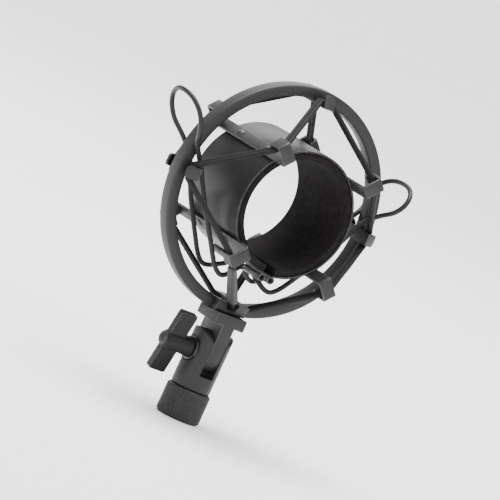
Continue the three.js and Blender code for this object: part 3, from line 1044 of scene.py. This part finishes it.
class MOUNT_OT_cords(bpy.types.Operator):
    """Build the elastic cords: their turns round the hooks, the spans between them, and the sheath"""

    bl_idname = "mount.cords"
    bl_label = "Elastic cords"

    bodies = {1: "cradle", 3: "cradle", 5: "left_jaw", 7: "right_jaw"}

    def stations(self, end, strand):
        """The two corners of each turn, from hook to hook round the sleeve's axis."""
        outer_y = end * (RING_STRAND - strand * STRAND_STEP) * MM
        inner_y = end * (SLEEVE_STRAND - strand * STRAND_STEP) * MM
        corners = []
        for k in range(8):
            angle = math.radians(OUTER_HOOKS["bottom"] if k == 6 else 45 * k)
            across, radius, along = (*RING_TURN, outer_y) if k % 2 == 0 else (*SLEEVE_TURN, inner_y)
            for shift in (-across * MM, across * MM):
                x = radius * MM * math.cos(angle) - shift * math.sin(angle)
                z = radius * MM * math.sin(angle) + shift * math.cos(angle)
                corners.append(CENTRE + Vector((x, along, z)))
        return corners

    def bends(self, k, line):
        """The stretches of a span: first and last point, and the bodies that it bends between."""
        jaw = self.bodies[k if k % 2 else (k + 1) % 8]
        outer_first = k % 2 == 0
        middle = SPAN_STEPS // 2
        cuts = ((0, SPAN_STEPS),) if jaw == "cradle" else ((0, middle), (middle, SPAN_STEPS))
        stretches = []
        for number, (low, high) in enumerate(cuts):
            near, far = (Vector((line[i].x, CENTRE.y, line[i].z)) for i in (low, high))
            at_ring = jaw == "cradle" or (number == 0) == outer_first
            pair = ("ring_frame", "cradle") if at_ring else ("cradle", jaw)
            ends = (near, far) if outer_first else (far, near)
            stretches.append((low, high, (*pair, *ends)))
        return stretches

    def execute(self, context):
        radius = context.scene.mount_sizes.cord_radius
        sides = 16
        axis = Vector((0, 1, 0))
        turns = {k: [] for k in range(8)}
        spans = {k: [] for k in range(8)}
        for end in (-1, 1):
            for strand in (0, 1):
                corners = self.stations(end, strand)
                count = len(corners)
                arcs = [
                    corner_arc(corners[i - 1], corners[i], corners[(i + 1) % count], TURN_RADIUS, 6)
                    for i in range(count)
                ]
                distance = 0.0
                for k in range(8):
                    first, second = arcs[2 * k], arcs[2 * k + 1]
                    leaving = (arcs[(2 * k + 2) % count][0] - second[-1]).normalized()
                    arriving = (first[0] - arcs[2 * k - 1][-1]).normalized()
                    turn = first + second
                    turns[k].append(tube(turn, radius, sides, (arriving, leaving), axis, distance))
                    distance += sum((b - a).length for a, b in zip(turn, turn[1:]))
                    goal = arcs[(2 * k + 2) % count][0]
                    line = [second[-1].lerp(goal, i / SPAN_STEPS) for i in range(SPAN_STEPS + 1)]
                    spans[k].append((line, distance))
                    distance += (goal - second[-1]).length
        for k, shapes in turns.items():
            body = self.bodies.get(k, "ring_frame")
            place(
                context,
                f"elastic_turn_{k + 1}",
                joined(shapes),
                "braided_elastic",
                "elastic",
                CORD_NODES,
                body,
                worn_and_highlit=False,
            )
        for k, lines in spans.items():
            for number, (low, high, bend) in enumerate(self.bends(k, lines[0][0])):
                shapes = [
                    tube(
                        line[low : high + 1],
                        radius,
                        sides,
                        ((line[-1] - line[0]).normalized(),) * 2,
                        axis,
                        start + (line[low] - line[0]).length,
                    )
                    for line, start in lines
                ]
                place(
                    context,
                    f"elastic_span_{k + 1}_{number + 1}",
                    joined(shapes),
                    "braided_elastic",
                    "elastic",
                    CORD_NODES,
                    bend=bend,
                    worn_and_highlit=False,
                )
        strands = [line for line, start in spans[SHEATHED_SPAN][:2]]
        ends = (("upper", SHEATH_TOP, SHEATH_MIDDLE, "first"), ("lower", SHEATH_MIDDLE, SHEATH_FOOT, "last"))
        stretches = self.bends(SHEATHED_SPAN, strands[0])
        for (name, top, foot, capped), stretch in zip(ends, stretches):
            shares, radii = zip(top, foot)
            place(
                context,
                f"sheath_{name}",
                sheath_part(strands, shares, radii, capped),
                "soft_sheath",
                "sheath",
                ["cord_sheath"],
                bend=stretch[2],
                worn_and_highlit=False,
            )
        return {"FINISHED"}


# The camera: its place from the ring's centre in millimetres, its axes, and its field in degrees.
CAMERA_OFFSET = (-1612.16, -2372.74, 262.23)
CAMERA_AHEAD = (0.55939, 0.82301, -0.09865)
CAMERA_RIGHT = (0.77574, -0.47786, 0.41217)
CAMERA_FIELD = 4.0524


class MOUNT_OT_stage(bpy.types.Operator):
    """Build the floor, the studio light and the camera"""

    bl_idname = "mount.stage"
    bl_label = "Stage"

    def soft_light(self, context, name, offset, size, power):
        light = bpy.data.lights.new(name, "AREA")
        light.shape = "RECTANGLE"
        light.size, light.size_y = size
        light.energy = power
        lamp = bpy.data.objects.new(name, light)
        lamp.location = CENTRE + Vector(offset)
        lamp.rotation_euler = (-Vector(offset)).to_track_quat("-Z", "Y").to_euler()
        context.scene.collection.objects.link(lamp)

    def execute(self, context):
        bm = bmesh.new()
        bmesh.ops.create_grid(bm, x_segments=1, y_segments=1, size=40.0)
        bmesh.ops.translate(bm, verts=bm.verts, vec=(0, 0, -0.2 * MM))
        mesh = bpy.data.meshes.new("floor")
        bm.to_mesh(mesh)
        bm.free()
        mesh.materials.append(finish_named(context, "pale_floor"))
        floor = bpy.data.objects.new("floor", mesh)
        context.scene.collection.objects.link(floor)

        self.soft_light(context, "key", (0.25, -1.25, 0.8), (0.6, 0.6), 7.0)
        self.soft_light(context, "top", (-0.1, 0.4, 1.1), (0.8, 0.4), 16.0)
        self.soft_light(context, "rim", (0.4, 1.0, 0.6), (0.7, 0.35), 4.0)
        overhead = bpy.data.lights.new("overhead", "SUN")
        overhead.energy = 5.5
        overhead.angle = math.radians(50)
        context.scene.collection.objects.link(bpy.data.objects.new("overhead", overhead))

        world = bpy.data.worlds.new("studio")
        world.use_nodes = True
        sky = world.node_tree.nodes["Background"]
        sky.inputs["Color"].default_value = (1.0, 1.0, 1.0, 1.0)
        sky.inputs["Strength"].default_value = 0.8
        context.scene.world = world

        lens = bpy.data.cameras.new("camera")
        lens.sensor_fit = "HORIZONTAL"
        lens.angle = math.radians(CAMERA_FIELD)
        lens.clip_start, lens.clip_end = 0.1, 200.0
        camera = bpy.data.objects.new("camera", lens)
        ahead = Vector(CAMERA_AHEAD).normalized()
        right = Vector(CAMERA_RIGHT)
        right = (right - ahead * right.dot(ahead)).normalized()
        up = right.cross(ahead)
        stand = Matrix((right, up, -ahead)).transposed().to_4x4()
        stand.translation = CENTRE + Vector(CAMERA_OFFSET) * MM
        camera.matrix_world = stand
        context.scene.collection.objects.link(camera)
        context.scene.camera = camera
        return {"FINISHED"}


PIECES = (
    MOUNT_OT_stage,
    MOUNT_OT_stand_end,
    MOUNT_OT_clamp_screw,
    MOUNT_OT_ring,
    MOUNT_OT_outer_hooks,
    MOUNT_OT_sleeve,
    MOUNT_OT_sleeve_hooks,
    MOUNT_OT_levers,
    MOUNT_OT_cords,
)


class MOUNT_PT_pieces(bpy.types.Panel):
    """The mount's sizes, colours and pieces"""

    bl_idname = "MOUNT_PT_pieces"
    bl_label = "Suspension mount"
    bl_space_type = "VIEW_3D"
    bl_region_type = "UI"
    bl_category = "Mount"

    def draw(self, context):
        for group in (context.scene.mount_sizes, context.scene.mount_colours):
            box = self.layout.box()
            for name in group.bl_rna.properties.keys():
                if name not in ("rna_type", "name"):
                    box.prop(group, name)
        for piece in PIECES:
            self.layout.operator(piece.bl_idname)


CLASSES = (MountSizes, MountColours, *PIECES, MOUNT_PT_pieces)


def register():
    for cls in CLASSES:
        bpy.utils.register_class(cls)
    bpy.types.Scene.mount_sizes = bpy.props.PointerProperty(type=MountSizes)
    bpy.types.Scene.mount_colours = bpy.props.PointerProperty(type=MountColours)


def unregister():
    del bpy.types.Scene.mount_colours
    del bpy.types.Scene.mount_sizes
    for cls in reversed(CLASSES):
        bpy.utils.unregister_class(cls)


def main():
    register()
    bpy.ops.mount.stage()
    bpy.ops.mount.stand_end()
    bpy.ops.mount.clamp_screw()
    bpy.ops.mount.ring()
    bpy.ops.mount.outer_hooks()
    bpy.ops.mount.sleeve()
    bpy.ops.mount.sleeve_hooks()
    bpy.ops.mount.levers()
    bpy.ops.mount.cords()


if __name__ == "__main__":
    main()
